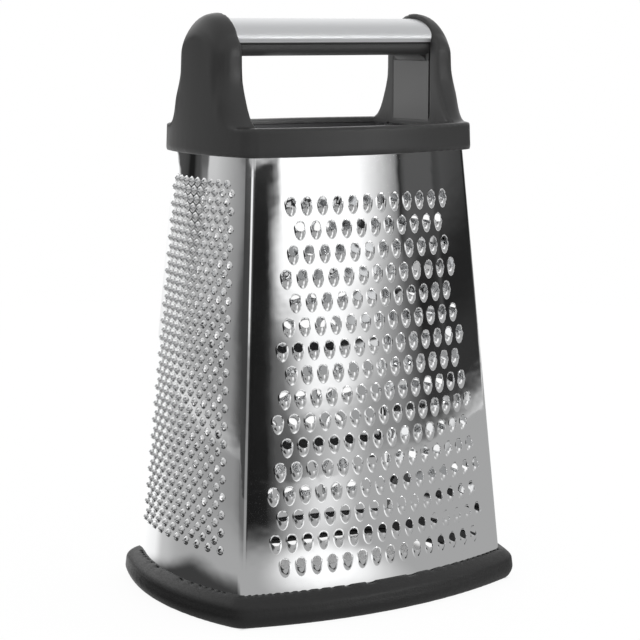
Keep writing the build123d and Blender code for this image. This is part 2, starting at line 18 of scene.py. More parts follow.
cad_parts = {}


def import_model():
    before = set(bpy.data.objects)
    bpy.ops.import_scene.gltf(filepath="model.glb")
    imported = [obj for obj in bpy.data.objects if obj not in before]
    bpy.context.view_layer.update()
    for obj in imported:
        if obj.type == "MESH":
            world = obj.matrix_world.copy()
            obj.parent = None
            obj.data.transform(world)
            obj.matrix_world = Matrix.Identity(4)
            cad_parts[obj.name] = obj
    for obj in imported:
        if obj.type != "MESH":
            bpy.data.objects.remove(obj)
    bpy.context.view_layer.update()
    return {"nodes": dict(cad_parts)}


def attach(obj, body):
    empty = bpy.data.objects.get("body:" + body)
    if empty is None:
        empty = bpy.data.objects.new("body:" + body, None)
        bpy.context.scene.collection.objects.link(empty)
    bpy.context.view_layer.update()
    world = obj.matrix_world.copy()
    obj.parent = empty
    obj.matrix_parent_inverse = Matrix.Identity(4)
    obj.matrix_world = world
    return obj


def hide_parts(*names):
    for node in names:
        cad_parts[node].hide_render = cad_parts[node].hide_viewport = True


log = logging.getLogger("grater")
MM = 0.001


class Sock:
    """A socket of a node tree that takes part in sums."""

    def __init__(self, book: "NodeBook", socket: bpy.types.NodeSocket) -> None:
        """Keep the socket and the book that makes new nodes."""
        self.book = book
        self.socket = socket

    def _math(self, operation: str, *values: "Sock | float") -> "Sock":
        """A Math node on these values."""
        inputs = {index: value for index, value in enumerate(values)}
        return self.book.node("ShaderNodeMath", {"operation": operation}, inputs)

    def __add__(self, other: "Sock | float") -> "Sock":
        """Sum."""
        return self._math("ADD", self, other)

    __radd__ = __add__

    def __sub__(self, other: "Sock | float") -> "Sock":
        """Difference."""
        return self._math("SUBTRACT", self, other)

    def __rsub__(self, other: "Sock | float") -> "Sock":
        """Difference from a number."""
        return self._math("SUBTRACT", other, self)

    def __mul__(self, other: "Sock | float") -> "Sock":
        """Product."""
        return self._math("MULTIPLY", self, other)

    __rmul__ = __mul__

    def __truediv__(self, other: "Sock | float") -> "Sock":
        """Quotient."""
        return self._math("DIVIDE", self, other)

    def clamped(self, low: float, high: float, start: float = 0.0, end: float = 1.0) -> "Sock":
        """The value mapped smoothly from low..high to start..end.

        Args:
            low: value that gives the start.
            high: value that gives the end.
            start: result at and below low.
            end: result at and above high.

        Returns:
            The mapped value.
        """
        settings = {"interpolation_type": "SMOOTHSTEP"}
        inputs = {0: self, 1: low, 2: high, 3: start, 4: end}
        return self.book.node("ShaderNodeMapRange", settings, inputs)


class NodeBook:
    """Makes the nodes of one tree."""

    def __init__(self, tree: bpy.types.NodeTree) -> None:
        """Start with an empty tree."""
        self.tree = tree
        tree.nodes.clear()

    def node(
        self,
        kind: str,
        settings: dict | None = None,
        inputs: dict | None = None,
        output: int | str = 0,
    ) -> Sock:
        """Add a node.

        Args:
            kind: the type of the node.
            settings: its own settings, or the stops of a ramp under "stops".
            inputs: values or sockets by input index or name.
            output: index or name of the output that is wanted.

        Returns:
            The output, ready for sums.
        """
        new = self.tree.nodes.new(kind)
        for name, value in (settings or {}).items():
            if name == "stops":
                self._stops(new.color_ramp, value)
            else:
                setattr(new, name, value)
        for name, value in (inputs or {}).items():
            if isinstance(value, Sock):
                self.tree.links.new(value.socket, new.inputs[name])
            else:
                new.inputs[name].default_value = value
        return Sock(self, new.outputs[output]) if new.outputs else Sock(self, None)

    @staticmethod
    def _stops(ramp: bpy.types.ColorRamp, stops: list) -> None:
        """Give a ramp its stops, as (place, grey level)."""
        while len(ramp.elements) > 1:
            ramp.elements.remove(ramp.elements[-1])
        first = True
        for place, level in stops:
            element = ramp.elements[0] if first else ramp.elements.new(place)
            element.position = place
            element.color = (level, level, level, 1)
            first = False


class Finish:
    """A procedural finish: builds its material once."""

    name = "finish"

    def build(self, book: NodeBook, place: Sock) -> dict:
        """Inputs of the shader; each finish gives its own."""
        raise NotImplementedError

    def material(self) -> bpy.types.Material:
        """The material, made at its first use."""
        known = bpy.data.materials.get(self.name)
        if known:
            return known
        made = bpy.data.materials.new(self.name)
        made.use_nodes = True
        book = NodeBook(made.node_tree)
        place = book.node("ShaderNodeTexCoord", output="Object")
        shader = book.node("ShaderNodeBsdfPrincipled", None, self.build(book, place))
        book.node("ShaderNodeOutputMaterial", None, {"Surface": shader})
        return made

    @staticmethod
    def noise(book: NodeBook, place: Sock, scale: float, detail: float = 2.0) -> Sock:
        """Noise of a given scale, per metre."""
        return book.node(
            "ShaderNodeTexNoise", None, {"Vector": place, "Scale": scale, "Detail": detail}
        )

    @staticmethod
    def bump(book: NodeBook, height: Sock, depth: float, normal: Sock | None = None) -> Sock:
        """A bump of a given depth in metres."""
        inputs = {"Height": height, "Distance": depth, "Strength": 1.0}
        if normal:
            inputs["Normal"] = normal
        return book.node("ShaderNodeBump", None, inputs)


@dataclass(frozen=True)
class PolishedSteel(Finish):
    """Bright sheet steel with faint rolling marks and a slightly uneven gloss."""

    name: str = "polished_steel"
    colour: tuple = (0.86, 0.865, 0.87, 1)
    roughness: float = 0.025
    unevenness: float = 0.03

    def build(self, book: NodeBook, place: Sock) -> dict:
        """Mirror base, hazier in soft clouds, with fine marks along the sheet."""
        haze = self.noise(book, place, 30.0, 3.0)
        marks_at = book.node(
            "ShaderNodeMapping", None, {"Vector": place, "Scale": (900.0, 900.0, 40.0)}
        )
        marks = self.noise(book, marks_at, 1.0, 2.0)
        waves = self.noise(book, place, 45.0, 1.0)
        dents = self.noise(book, place, 150.0, 1.0)
        grain = self.bump(book, marks, 0.000001)
        dented = self.bump(book, dents, 0.00002, grain)
        return {
            "Base Color": self.colour,
            "Metallic": 1.0,
            "Roughness": haze.clamped(0.35, 0.75, self.roughness, self.roughness + self.unevenness),
            "Normal": self.bump(book, waves, 0.00006, dented),
        }


@dataclass(frozen=True)
class SatinSteel(Finish):
    """Brushed steel, drawn along the bar."""

    name: str = "satin_steel"
    colour: tuple = (0.82, 0.82, 0.825, 1)
    roughness: float = 0.14

    def build(self, book: NodeBook, place: Sock) -> dict:
        """Fine hair lines along X."""
        stretched = book.node(
            "ShaderNodeMapping", None, {"Vector": place, "Scale": (12.0, 3500.0, 3500.0)}
        )
        hair = self.noise(book, stretched, 1.0, 3.0)
        return {
            "Base Color": self.colour,
            "Metallic": 1.0,
            "Roughness": hair.clamped(0.3, 0.7, self.roughness - 0.05, self.roughness + 0.07),
            "Normal": self.bump(book, hair, 0.0000022),
        }


@dataclass(frozen=True)
class SoftTouch(Finish):
    """Charcoal soft-touch moulding: matt, with a very fine skin."""

    name: str = "soft_touch_skin"
    level: float = 0.027
    roughness: float = 0.40

    def build(self, book: NodeBook, place: Sock) -> dict:
        """Matt charcoal with a little cloud in its colour and gloss."""
        cloud = self.noise(book, place, 22.0, 3.0)
        skin = self.noise(book, place, 2600.0, 2.0)
        dark = (self.level * 0.92, self.level * 0.92, self.level * 0.92, 1)
        pale = (self.level * 1.08, self.level * 1.08, self.level * 1.08, 1)
        tint = book.node(
            "ShaderNodeMix",
            {"data_type": "RGBA"},
            {"Factor": cloud, 6: dark, 7: pale},
            2,
        )
        return {
            "Base Color": tint,
            "Roughness": cloud.clamped(0.3, 0.7, self.roughness - 0.06, self.roughness + 0.05),
            "Normal": self.bump(book, skin, 0.000012),
        }


@dataclass(frozen=True)
class PaintedLightPlateTouch(SoftTouch):
    """The same moulding, painted paler on the plates inside the handle: painted light that stands in for
    the light falling on them.
    """

    name: str = "painted_light_plate_skin"
    # painted light: a level above the moulding's own, to lighten the plates
    level: float = 0.057


@dataclass(frozen=True)
class GrainRubber(Finish):
    """Dark rubber with the fine grain of a textured mould."""

    name: str = "grain_rubber"
    level: float = 0.0135
    roughness: float = 0.44

    def build(self, book: NodeBook, place: Sock) -> dict:
        """A pebbled grain over a matt base."""
        pebble = book.node(
            "ShaderNodeTexVoronoi", {"feature": "SMOOTH_F1"}, {"Vector": place, "Scale": 1500.0}
        )
        cloud = self.noise(book, place, 40.0, 3.0)
        dark = (self.level * 0.85, self.level * 0.85, self.level * 0.86, 1)
        pale = (self.level * 1.15, self.level * 1.15, self.level * 1.16, 1)
        tint = book.node(
            "ShaderNodeMix", {"data_type": "RGBA"}, {"Factor": cloud, 6: dark, 7: pale}, 2
        )
        return {
            "Base Color": tint,
            "Roughness": pebble.clamped(0.0, 0.8, self.roughness - 0.08, self.roughness + 0.08),
            "Normal": self.bump(book, pebble, 0.00006),
        }


@dataclass(frozen=True)
class PlainPlastic(Finish):
    """Black moulded plastic of the inner frames."""

    name: str = "plain_plastic"
    level: float = 0.022
    roughness: float = 0.5

    def build(self, book: NodeBook, place: Sock) -> dict:
        """Even black with a faint mould texture."""
        skin = self.noise(book, place, 1800.0, 2.0)
        return {
            "Base Color": (self.level, self.level, self.level * 1.04, 1),
            "Roughness": skin.clamped(0.3, 0.7, self.roughness - 0.06, self.roughness + 0.06),
            "Normal": self.bump(book, skin, 0.00002),
        }


@dataclass(frozen=True)
class ScrewSteel(Finish):
    """Zinc-plated screw."""

    name: str = "screw_plating"
    colour: tuple = (0.62, 0.62, 0.64, 1)

    def build(self, book: NodeBook, place: Sock) -> dict:
        """Slightly mottled plating."""
        mottle = self.noise(book, place, 700.0, 3.0)
        return {
            "Base Color": self.colour,
            "Metallic": 1.0,
            "Roughness": mottle.clamped(0.3, 0.7, 0.28, 0.42),
            "Normal": self.bump(book, mottle, 0.00001),
        }


def deselect() -> None:
    """Leave edit mode and select nothing."""
    if bpy.context.object and bpy.context.object.mode != "OBJECT":
        bpy.ops.object.mode_set(mode="OBJECT")
    bpy.ops.object.select_all(action="DESELECT")


def mesh_piece(name: str, points: np.ndarray, faces: list) -> bpy.types.Object:
    """A piece from its points and faces.

    Args:
        name: name of the piece.
        points: array of points, in metres.
        faces: tuples of point numbers.

    Returns:
        The new object, linked and active.
    """
    mesh = bpy.data.meshes.new(name)
    mesh.from_pydata([tuple(point) for point in points], [], faces)
    mesh.update()
    piece = bpy.data.objects.new(name, mesh)
    bpy.context.scene.collection.objects.link(piece)
    deselect()
    piece.select_set(True)
    bpy.context.view_layer.objects.active = piece
    return piece


def copy_of(solid: bpy.types.Object, name: str) -> bpy.types.Object:
    """A merged copy of a solid's mesh as a new, active piece."""
    piece = bpy.data.objects.new(name, solid.data.copy())
    bpy.context.scene.collection.objects.link(piece)
    deselect()
    piece.select_set(True)
    bpy.context.view_layer.objects.active = piece
    bpy.ops.object.mode_set(mode="EDIT")
    bpy.ops.mesh.select_all(action="SELECT")
    bpy.ops.mesh.remove_doubles(threshold=0.01 * MM)
    bpy.ops.object.mode_set(mode="OBJECT")
    return piece


def ease(value: float, low: float, high: float) -> float:
    """Smooth share of the way from low to high."""
    share = min(max((value - low) / (high - low), 0), 1)
    return share * share * (3 - 2 * share)


@dataclass
class Body:
    """Measures of the steel body, as the solids have them."""

    lip: float = 12.7 * MM
    collar: float = 187.0 * MM
    foot: float = 4.2 * MM
    top: float = 195.7 * MM
    front_low: float = 55.9 * MM
    front_high: float = 40.1 * MM
    side_low: float = 74.1 * MM
    side_high: float = 57.9 * MM
    front_bow: float = 189.6 * MM
    side_bow: float = 116.8 * MM
    bend: float = 4.6 * MM
    sheet: float = 0.6 * MM

    def front_at(self, height: float) -> float:
        """Distance of the front from the middle, at a height."""
        slope = (self.front_low - self.front_high) / (self.collar - self.lip)
        return self.front_low - slope * (height - self.lip)

    def side_at(self, height: float) -> float:
        """Distance of a side from the middle, at a height."""
        slope = (self.side_low - self.side_high) / (self.collar - self.lip)
        return self.side_low - slope * (height - self.lip)

    def bend_centre(self, height: float) -> tuple[float, float]:
        """Centre of the front right corner bend, at a height."""
        front_axis = self.front_bow - self.front_low
        side_axis = self.side_bow - self.side_low
        r1 = front_axis + self.front_at(height) - self.bend
        r2 = side_axis + self.side_at(height) - self.bend
        level = (r2**2 - r1**2 - side_axis**2 + front_axis**2) / (2 * front_axis)
        slope = -side_axis / front_axis
        a = slope**2 + 1
        b = 2 * slope * (level - front_axis)
        c = (level - front_axis) ** 2 - r1**2
        x = (-b + sqrt(b**2 - 4 * a * c)) / (2 * a)
        return x, level + slope * x


class Facing(Enum):
    """Which way a panel faces: its turn from the front, in degrees."""

    FRONT = 0
    RIGHT = 90
    BACK = 180
    LEFT = 270


@dataclass
class Stamp:
    """One stamped tooth: a swell in the sheet, an opening, and a scoop that ends in a curved lip."""

    half_width: float
    above: float
    below: float
    rise: float
    margin: float
    lip_drop: float = 0.0
    swell: float = 0.0
    taper: float = 0.0
    steps: int = 16
    rows: int = 3

    def rim(self, grow: float) -> np.ndarray:
        """Points (across, up) round the rim, grown by a margin."""
        points = []
        for index in range(self.steps):
            angle = 2 * pi * index / self.steps
            across, up = cos(angle), sin(angle)
            if up < 0:
                across *= 1 - self.taper * up * up
            reach = self.above if up >= 0 else self.below
            points.append((across * (self.half_width + grow), up * (reach + grow)))
        return np.array(points)

    def bands(self, rings: list) -> list:
        """Faces between rings of points that follow one another."""
        n = self.steps
        faces = []
        for ring in range(len(rings) - 1):
            for i in range(n):
                j = (i + 1) % n
                a, b = rings[ring], rings[ring + 1]
                faces.append((a + i, a + j, b + j, b + i))
        return faces

    def template(self) -> tuple[np.ndarray, list]:
        """Points (across, up, out, wall) and faces; the first points are the outer rim."""
        n = self.steps
        half = n // 2
        points = [(*p, 0.0, 1.0) for p in self.rim(self.margin)]
        points += [(*p, self.swell * 0.75, 0.9) for p in self.rim(self.margin * 0.42)]
        edge = self.rim(0.0)
        for i, p in enumerate(edge):
            dip = max(sin(2 * pi * i / n), 0)
            points.append((p[0], p[1], self.swell * (1 - 1.9 * dip), 0.7))
        faces = self.bands([0, n, 2 * n])
        # The scoop climbs from the lower half of the edge to its lip
        lower = [2 * n + (half + i) % n for i in range(half + 1)]
        previous = lower
        for row in range(1, self.rows + 1):
            share = row / self.rows
            current = [lower[0]]
            for i in range(1, half):
                angle = pi * i / half
                foot = edge[(half + i) % n]
                lip = (-cos(angle) * self.half_width * 0.95, -self.lip_drop * sin(angle))
                across = foot[0] + (lip[0] - foot[0]) * share
                up = foot[1] + (lip[1] - foot[1]) * share
                out = self.swell + self.rise * sin(share * pi / 2) * sin(angle) ** 1.1
                points.append((across, up, out, 0.7 - 0.4 * share))
                current.append(len(points) - 1)
            current.append(lower[-1])
            for i in range(half):
                quad = (previous[i], previous[i + 1], current[i + 1], current[i])
                faces.append(tuple(dict.fromkeys(quad)))
            previous = current
        return np.array(points), faces


@dataclass
class Burst(Stamp):
    """A small hole burst outwards into four petals."""

    steps: int = 12

    def template(self) -> tuple[np.ndarray, list]:
        """Rings that climb to four petals round the hole."""
        n = self.steps
        points = [(*p, 0.0, 1.0) for p in self.rim(self.margin)]
        points += [(*p, self.rise * 0.14, 0.7) for p in self.rim(self.margin * 0.35)]
        for i, p in enumerate(self.rim(0.0)):
            fold, height = (0.92, 0.60) if i % 3 == 0 else (1.02, 0.34)
            points.append((p[0] * fold, p[1] * fold, self.rise * height, 0.35))
        for i, p in enumerate(self.rim(0.0)):
            inner, height = (0.52, 1.0) if i % 3 == 0 else (0.84, 0.46)
            points.append((p[0] * inner, p[1] * inner, self.rise * height, 0.2))
        return np.array(points), self.bands([0, n, 2 * n, 3 * n])


@dataclass
class Panel:
    """A bowed steel panel with a field of stamped teeth."""

    name: str
    node: str
    facing: Facing
    places: list
    stamp: Stamp
    body: Body = field(default_factory=Body)
    grid: float = 5.0 * MM
    arc_steps: int = 8

    @property
    def wraps(self) -> bool:
        """Whether the panel carries the corner bends."""
        return self.facing in (Facing.LEFT, Facing.RIGHT)

    @property
    def axis(self) -> float:
        """Distance of the axis of the bow behind the middle."""
        body = self.body
        if self.wraps:
            return body.side_bow - body.side_low
        return body.front_bow - body.front_low

    def radius(self, height: float) -> float:
        """Radius of the bow at a height."""
        at = self.body.side_at if self.wraps else self.body.front_at
        return self.axis + at(height)

    def bend_place(self, height: float) -> tuple[float, float]:
        """Centre of the bend at the right end, in the panel's own turn."""
        x, y = self.body.bend_centre(height)
        return (-y, -x) if self.wraps else (x, y)

    def swing(self, height: float) -> float:
        """Angle of the bow from its middle to the start of the bend."""
        x, y = self.bend_place(height)
        return atan2(x, self.axis - y)

    def reach(self, height: float) -> float:
        """Length along the sheet from its middle to its end."""
        bow = self.swing(height) * self.radius(height)
        if not self.wraps:
            return bow
        return bow + self.body.bend * self.bend_angle(height)

    def bend_angle(self, height: float) -> float:
        """Angle that the corner bend turns through."""
        x, y = self.body.bend_centre(height)
        front = atan2(x, self.body.front_bow - self.body.front_low - y)
        side = atan2(-y, self.body.side_bow - self.body.side_low + x)
        return pi / 2 - front - side

    def at(self, along: float, height: float, out: float) -> tuple[Vector, Vector]:
        """A point of the sheet and the way it faces there.

        Args:
            along: length along the sheet from its middle.
            height: height above the ground.
            out: distance out of the sheet.

        Returns:
            The point and the normal, turned to the panel's facing.
        """
        body = self.body
        radius = self.radius(height)
        swing = self.swing(height)
        slope = body.front_at(0) - body.front_at(1)
        if self.wraps:
            slope = body.side_at(0) - body.side_at(1)
        over = abs(along) - swing * radius
        if over <= 0:
            angle = along / radius
            way = Vector((sin(angle), -cos(angle), 0))
            spot = Vector((0, self.axis, height)) + way * radius
        else:
            x, y = self.bend_place(height)
            angle = swing + over / body.bend
            way = Vector((sin(angle), -cos(angle), 0))
            spot = Vector((x, y, height)) + way * body.bend
            if along < 0:
                way.x, spot.x = -way.x, -spot.x
        normal = (way + Vector((0, 0, slope))).normalized()
        turn = radians(self.facing.value)
        c, s = cos(turn), sin(turn)
        spot += normal * out
        spot = Vector((c * spot.x - s * spot.y, s * spot.x + c * spot.y, spot.z))
        normal = Vector((c * normal.x - s * normal.y, s * normal.x + c * normal.y, normal.z))
        return spot, normal

    def border(self) -> list:
        """Points (along, height) round the panel."""
        body = self.body
        rows = int((body.top - body.foot) / self.grid)
        heights = [body.foot + (body.top - body.foot) * i / rows for i in range(rows + 1)]
        right_side = [(self.reach(h), h) for h in heights]
        left_side = [(-a, h) for a, h in reversed(right_side)]
        across = []
        for height, sign in ((body.top, 1), (body.foot, -1)):
            spots = self.columns(height)
            inner = [(a * 1.0, height) for a in spots[1:-1]]
            across.append(inner[::-1] if sign > 0 else inner)
        return right_side + across[0] + left_side + across[1]

    def columns(self, height: float) -> list:
        """Places along the sheet where it gets points, at a height."""
        bow = self.swing(height) * self.radius(height)
        count = 22 if not self.wraps else 16
        spots = [bow * (2 * i / count - 1) for i in range(count + 1)]
        if self.wraps:
            arc = self.reach(height) - bow
            steps = [bow + arc * (i + 1) / self.arc_steps for i in range(self.arc_steps)]
            spots = [-a for a in reversed(steps)] + spots + steps
        return spots

    def make(self) -> bpy.types.Object:
        """Build the panel: a net of triangles round the teeth, bowed, and given its wall."""
        body = self.body
        points = list(self.border())
        edges = [(i, (i + 1) % len(points)) for i in range(len(points))]
        rim = self.stamp.rim(self.stamp.margin)
        starts = []
        for height, along in self.places:
            starts.append(len(points))
            points += [(along + p[0], height + p[1]) for p in rim]
            n = len(rim)
            edges += [(starts[-1] + i, starts[-1] + (i + 1) % n) for i in range(n)]
        clear = self.stamp.half_width + self.stamp.margin
        tall = max(self.stamp.above, self.stamp.below) + self.stamp.margin
        places = np.array([(a, h) for h, a in self.places]) if self.places else np.zeros((0, 2))
        rows = int((body.top - body.foot) / self.grid)
        for row in range(1, rows):
            height = body.foot + (body.top - body.foot) * row / rows
            for along in self.columns(height)[1:-1]:
                gap = np.abs(places - np.array((along, height)))
                if ((gap[:, 0] < clear * 1.1) & (gap[:, 1] < tall * 1.1)).any():
                    continue
                points.append((along, height))
        # The net is worked out in millimetres, where its tolerance suits it
        flat = [Vector((a / MM, h / MM)) for a, h in points]
        result = delaunay_2d_cdt(flat, edges, [], 1, 0.0001)
        spots, _, faces, origins = result[0], result[1], result[2], result[3]
        number = [origin[0] if origin else None for origin in origins]
        out = [0.0] * len(spots)
        rings = {}
        for index, origin in enumerate(number):
            if origin is not None:
                rings[origin] = index
        owner = {}
        for start in starts:
            for i in range(len(rim)):
                owner[rings[start + i]] = start
        kept = [f for f in faces if len({owner.get(v, -1 - v) for v in f}) > 1]
        coords = [(s.x * MM, s.y * MM) for s in spots]
        template, tooth_faces = self.stamp.template()
        n = len(rim)
        for start, (height, along) in zip(starts, self.places):
            base = len(coords)
            for across, up, lift, _ in template[n:]:
                coords.append((along + across, height + up))
                out.append(lift)
            for tooth_face in tooth_faces:
                kept.append(
                    tuple(rings[start + v] if v < n else base + v - n for v in tooth_face)
                )
        wall = [1.0] * len(spots)
        wall += [point[3] for _ in starts for point in template[n:]]
        solved = [self.at(a, h, o) for (a, h), o in zip(coords, out)]
        ways = [normal for _, normal in solved]
        piece = mesh_piece(self.name, np.array([tuple(spot) for spot, _ in solved]), kept)
        self.face_outwards(piece, ways)
        self.give_wall(piece, wall)
        self.shade(piece, ways, len(spots))
        piece.data.materials.append(PolishedSteel().material())
        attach(piece, "root")
        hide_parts(self.node)
        log.info("%s: %d faces", self.name, len(piece.data.polygons))
        return piece

    def give_wall(self, piece: bpy.types.Object, wall: list) -> None:
        """Give the sheet its thickness, drawn thin at the cutting edges."""
        group = piece.vertex_groups.new(name="wall")
        for weight in sorted(set(wall)):
            group.add([i for i, own in enumerate(wall) if own == weight], weight, "REPLACE")
        solid = piece.modifiers.new("wall", "SOLIDIFY")
        solid.thickness = self.body.sheet
        solid.offset = -1
        solid.use_even_offset = False
        solid.vertex_group = "wall"
        bpy.ops.object.modifier_apply(modifier=solid.name)

    @staticmethod
    def face_outwards(piece: bpy.types.Object, ways: list) -> None:
        """Turn round the faces that look inwards."""
        work = bmesh.new()
        work.from_mesh(piece.data)
        work.normal_update()
        work.verts.ensure_lookup_table()
        flip = [f for f in work.faces if f.normal.dot(ways[f.verts[0].index]) < 0]
        bmesh.ops.reverse_faces(work, faces=flip)
        work.to_mesh(piece.data)
        work.free()

    @staticmethod
    def shade(piece: bpy.types.Object, ways: list, net: int) -> None:
        """Shade the sheet by the true way it faces, and the teeth by their own."""
        bpy.ops.object.shade_smooth_by_angle(angle=radians(50))
        mesh = piece.data
        count = len(ways)
        near = cos(radians(40))
        custom = []
        for polygon in mesh.polygons:
            for loop in polygon.loop_indices:
                vertex = mesh.loops[loop].vertex_index
                way = ways[vertex % count]
                if vertex >= count:
                    way = -way
                own = vertex % count < net and polygon.normal.dot(way) > near
                custom.append(way if own else Vector((0, 0, 0)))
        mesh.normals_split_custom_set(custom)


@dataclass
class SteelBody:
    """Three of the four panels with their teeth; the right panel stays as the solid."""

    medium_rows: tuple = (12, 11, 12, 13, 12, 13, 14, 13, 14, 15, 14, 15, 16, 15, 16, 15)
    medium_top: float = 168.5 * MM
    medium_step: float = 9.64 * MM
    medium_pitch: float = 6.86 * MM
    coarse_rows: tuple = (7, 6, 7, 8, 7, 8, 9, 8, 9, 10)
    coarse_top: float = 164.0 * MM
    coarse_step: float = 15.4 * MM
    coarse_pitch: float = 11.2 * MM
    fine_rows: int = 42
    fine_columns: int = 10
    fine_top: float = 175.8 * MM
    fine_bottom: float = 29.1 * MM
    fine_pitch_top: float = 5.2 * MM
    fine_pitch_bottom: float = 7.25 * MM
    slicer_heights: tuple = (39.0 * MM, 77.0 * MM, 115.0 * MM, 153.0 * MM)
    slicer_margin: float = 12.0 * MM

    @staticmethod
    def staggered(rows: tuple, top: float, step: float, pitch: float) -> list:
        """Places (height, along) of a pattern with these counts from the top down."""
        return [
            (top - row * step, (column - (count - 1) / 2) * pitch)
            for row, count in enumerate(rows)
            for column in range(count)
        ]

    def fanned(self) -> list:
        """Places of the fine points, whose columns spread towards the base."""
        places = []
        for row in range(self.fine_rows):
            share = row / (self.fine_rows - 1)
            height = self.fine_top + (self.fine_bottom - self.fine_top) * share
            pitch = self.fine_pitch_top + (self.fine_pitch_bottom - self.fine_pitch_top) * share
            count = self.fine_columns - 1 + row % 2
            for column in range(count):
                places.append((height, (column - (count - 1) / 2) * pitch))
        return places

    def build(self) -> None:
        """Make the front, back and left panels."""
        medium = Stamp(
            2.1 * MM, 2.2 * MM, 4.6 * MM, 1.45 * MM, 0.75 * MM, lip_drop=1.5 * MM,
            swell=0.16 * MM, taper=0.03,
        )
        coarse = Stamp(
            3.8 * MM, 3.6 * MM, 7.4 * MM, 2.3 * MM, 0.9 * MM, lip_drop=2.6 * MM, swell=0.2 * MM,
            taper=0.03,
        )
        point = Burst(1.5 * MM, 1.5 * MM, 1.5 * MM, 1.3 * MM, 0.57 * MM)
        rows = self.staggered(
            self.medium_rows, self.medium_top, self.medium_step, self.medium_pitch
        )
        Panel("front_teeth_panel", "front_panel", Facing.FRONT, rows, medium).make()
        rows = self.staggered(
            self.coarse_rows, self.coarse_top, self.coarse_step, self.coarse_pitch
        )
        Panel("back_teeth_panel", "back_panel", Facing.BACK, rows, coarse).make()
        Panel("fine_points_panel", "left_panel", Facing.LEFT, self.fanned(), point).make()


@dataclass
class TopShell:
    """The soft-touch moulding: collar and pillars, with the soft edges of a rubbery skin."""

    voxel: float = 0.9 * MM
    rounds: int = 12
    deck: float = 198.6 * MM
    pillar_inner: float = 47.8 * MM
    pillar_outer: float = 57.7 * MM
    cover_half: float = 14.5 * MM
    dome: tuple = (224 * MM, 242 * MM)
    dome_drop: float = 2.8 * MM
    wider: float = 1.6 * MM

    def build(self, solid: bpy.types.Object) -> bpy.types.Object:
        """Copy the solid, melt its edges, and dress it.

        Args:
            solid: the moulding among the solids.

        Returns:
            The soft-edged piece.
        """
        piece = copy_of(solid, "soft_top")
        self.melt(piece)
        self.form(piece)
        bpy.ops.object.shade_smooth()
        piece.data.materials.clear()
        piece.data.materials.append(SoftTouch().material())
        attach(piece, "root")
        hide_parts("top_shell")
        log.info("soft_top: %d faces", len(piece.data.polygons))
        return piece

    def melt(self, piece: bpy.types.Object) -> None:
        """Remesh evenly, then smooth what the hand touches more than the rest."""
        even = piece.modifiers.new("even", "REMESH")
        even.mode = "VOXEL"
        even.voxel_size = self.voxel
        bpy.ops.object.modifier_apply(modifier=even.name)
        group = piece.vertex_groups.new(name="soft")
        for vertex in piece.data.vertices:
            group.add([vertex.index], self.softness(vertex.co), "REPLACE")
        for _ in range(2):
            smooth = piece.modifiers.new("smooth", "SMOOTH")
            smooth.factor = 0.5
            smooth.iterations = self.rounds // 2
            smooth.vertex_group = "soft"
            bpy.ops.object.modifier_apply(modifier=smooth.name)

    def form(self, piece: bpy.types.Object) -> None:
        """Round the domes off towards their outer side, and fill out the pillars' edges."""
        for vertex in piece.data.vertices:
            spot = vertex.co
            outer = (abs(spot.x) - self.pillar_inner) / (self.pillar_outer - self.pillar_inner)
            outer = min(max(outer, 0), 1.2)
            high = ease(spot.z, *self.dome)
            free = ease(abs(spot.x), self.pillar_inner - 1 * MM, self.pillar_inner + 0.5 * MM)
            side = ease(abs(spot.y), self.cover_half, self.cover_half + 2.5 * MM)
            above = ease(spot.z, self.deck + 1 * MM, self.deck + 12 * MM)
            spot.y += self.wider * side * above * free * (1 if spot.y > 0 else -1)
            spot.z -= self.dome_drop * outer**2.2 * high
        piece.data.update()

    def softness(self, spot: Vector) -> float:
        """How far a place is smoothed: the outer side of the pillars most of all."""
        outer = abs(spot.x) - self.pillar_inner
        if spot.z > self.deck + 3 * MM and outer > 2.5 * MM:
            return 1.0
        if spot.z > self.deck + 1 * MM and outer > -1 * MM and abs(spot.y) > self.cover_half:
            return 0.6
        return 0.12


@dataclass
class PillarPlate:
    """The inset plate of the right pillar, drawn up to its pocket at the back and below."""

    closer: float = 0.45 * MM

    def build(self, solid: bpy.types.Object) -> bpy.types.Object:
        """Copy the solid, close two of its grooves, and dress it.

        Args:
            solid: the plate among the solids.

        Returns:
            The closer plate.
        """
        piece = copy_of(solid, "inset_plate")
        middle = sum((vertex.co for vertex in piece.data.vertices), Vector())
        middle /= len(piece.data.vertices)
        for vertex in piece.data.vertices:
            if vertex.co.y > middle.y:
                vertex.co.y += self.closer
            if vertex.co.z < middle.z:
                vertex.co.z -= self.closer
        piece.data.materials.clear()
        # the plate's finish carries painted light: it is paler than the moulding
        piece.data.materials.append(PaintedLightPlateTouch().material())
        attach(piece, "root")
        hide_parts("right_pillar_cover")
        return piece


